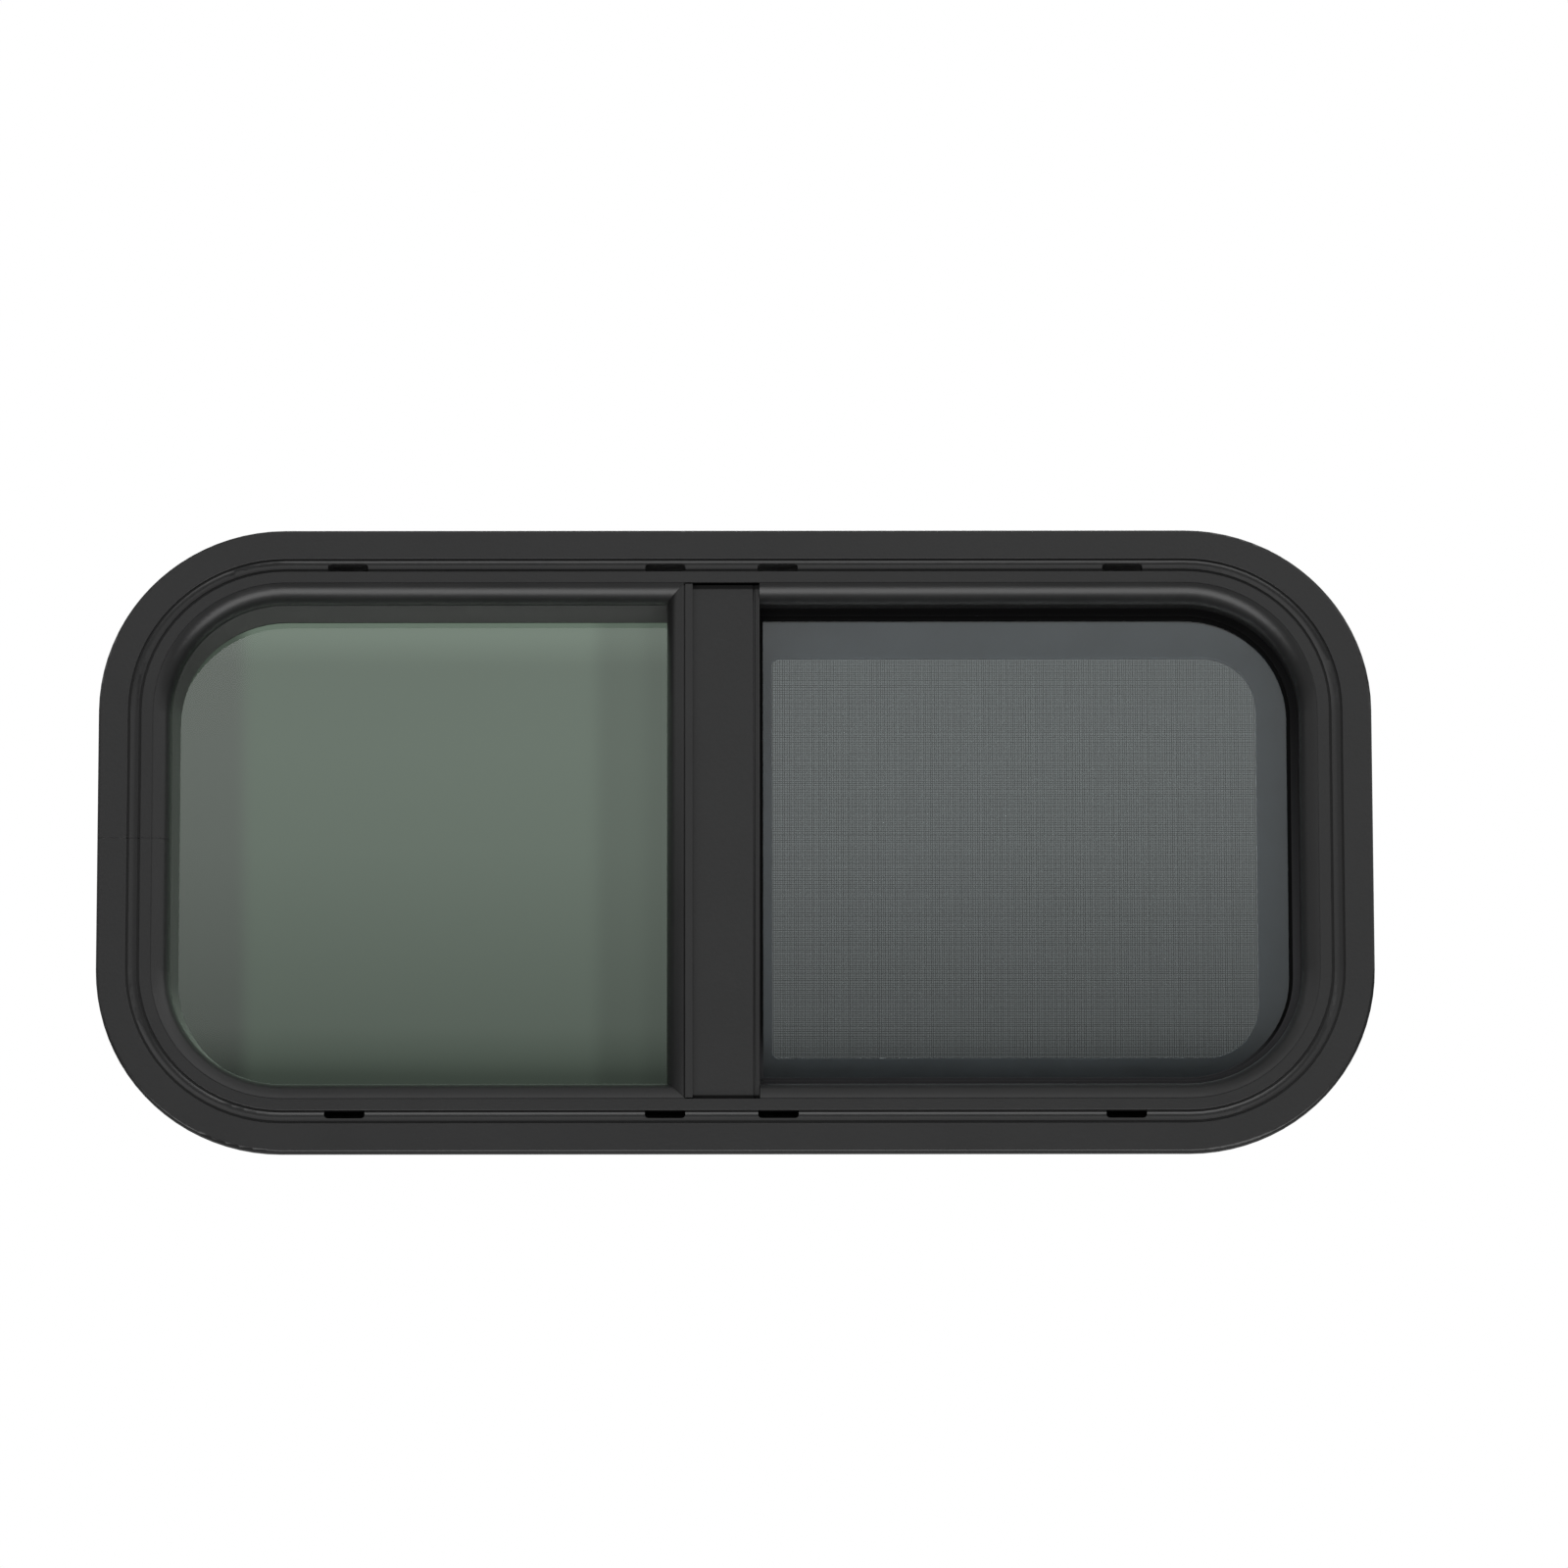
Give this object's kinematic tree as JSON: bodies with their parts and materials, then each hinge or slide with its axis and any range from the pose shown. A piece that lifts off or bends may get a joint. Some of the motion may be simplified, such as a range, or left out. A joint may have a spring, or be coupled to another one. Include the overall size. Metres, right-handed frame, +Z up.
{
  "type": "sliding caravan window",
  "caption": "Sliding caravan window with rounded corners: bent aluminium frame, a sliding and a fixed tinted pane either side of a mullion, and a fly screen behind.",
  "frame": {"origin": "on the seating face of the outer flange's rim, in the middle of the bottom run", "axes": "+X to the right along the width seen from outside, +Y into the vehicle through the wall, +Z up"},
  "size_m": [0.6, 0.047, 0.3],
  "materials": {
    "frame_black": "satin powder coat",
    "mill_steel": "zinc plated",
    "black_rubber": "matt",
    "tinted_glass": "polished",
    "grey_filler": "satin",
    "pile": "short pile",
    "nylon": "moulded",
    "latch_plastic": "fine grain",
    "screen_paint": "satin paint",
    "screen_cloth": "woven glass fibre"
  },
  "bodies": {
    "root": {"outer_frame": "frame_black", "frame_joint_plate": "mill_steel", "mullion": "frame_black", "mullion_bead": "frame_black", "mullion_seal": "black_rubber", "fixed_glass": "tinted_glass", "glazing_rubber": "black_rubber", "glazing_strip": "black_rubber", "sliding_glass": "tinted_glass", "track_filler": "grey_filler", "run_channel": "pile", "sash_stile": "frame_black", "sash_seal": "pile", "sash_glides": "nylon", "latch_body": "latch_plastic", "latch_lever": "latch_plastic", "latch_keeper": "mill_steel", "screen_frame": "screen_paint", "screen_spline": "black_rubber", "screen_mesh": "screen_cloth", "screen_pulls": "latch_plastic"}
  },
  "joints": []
}
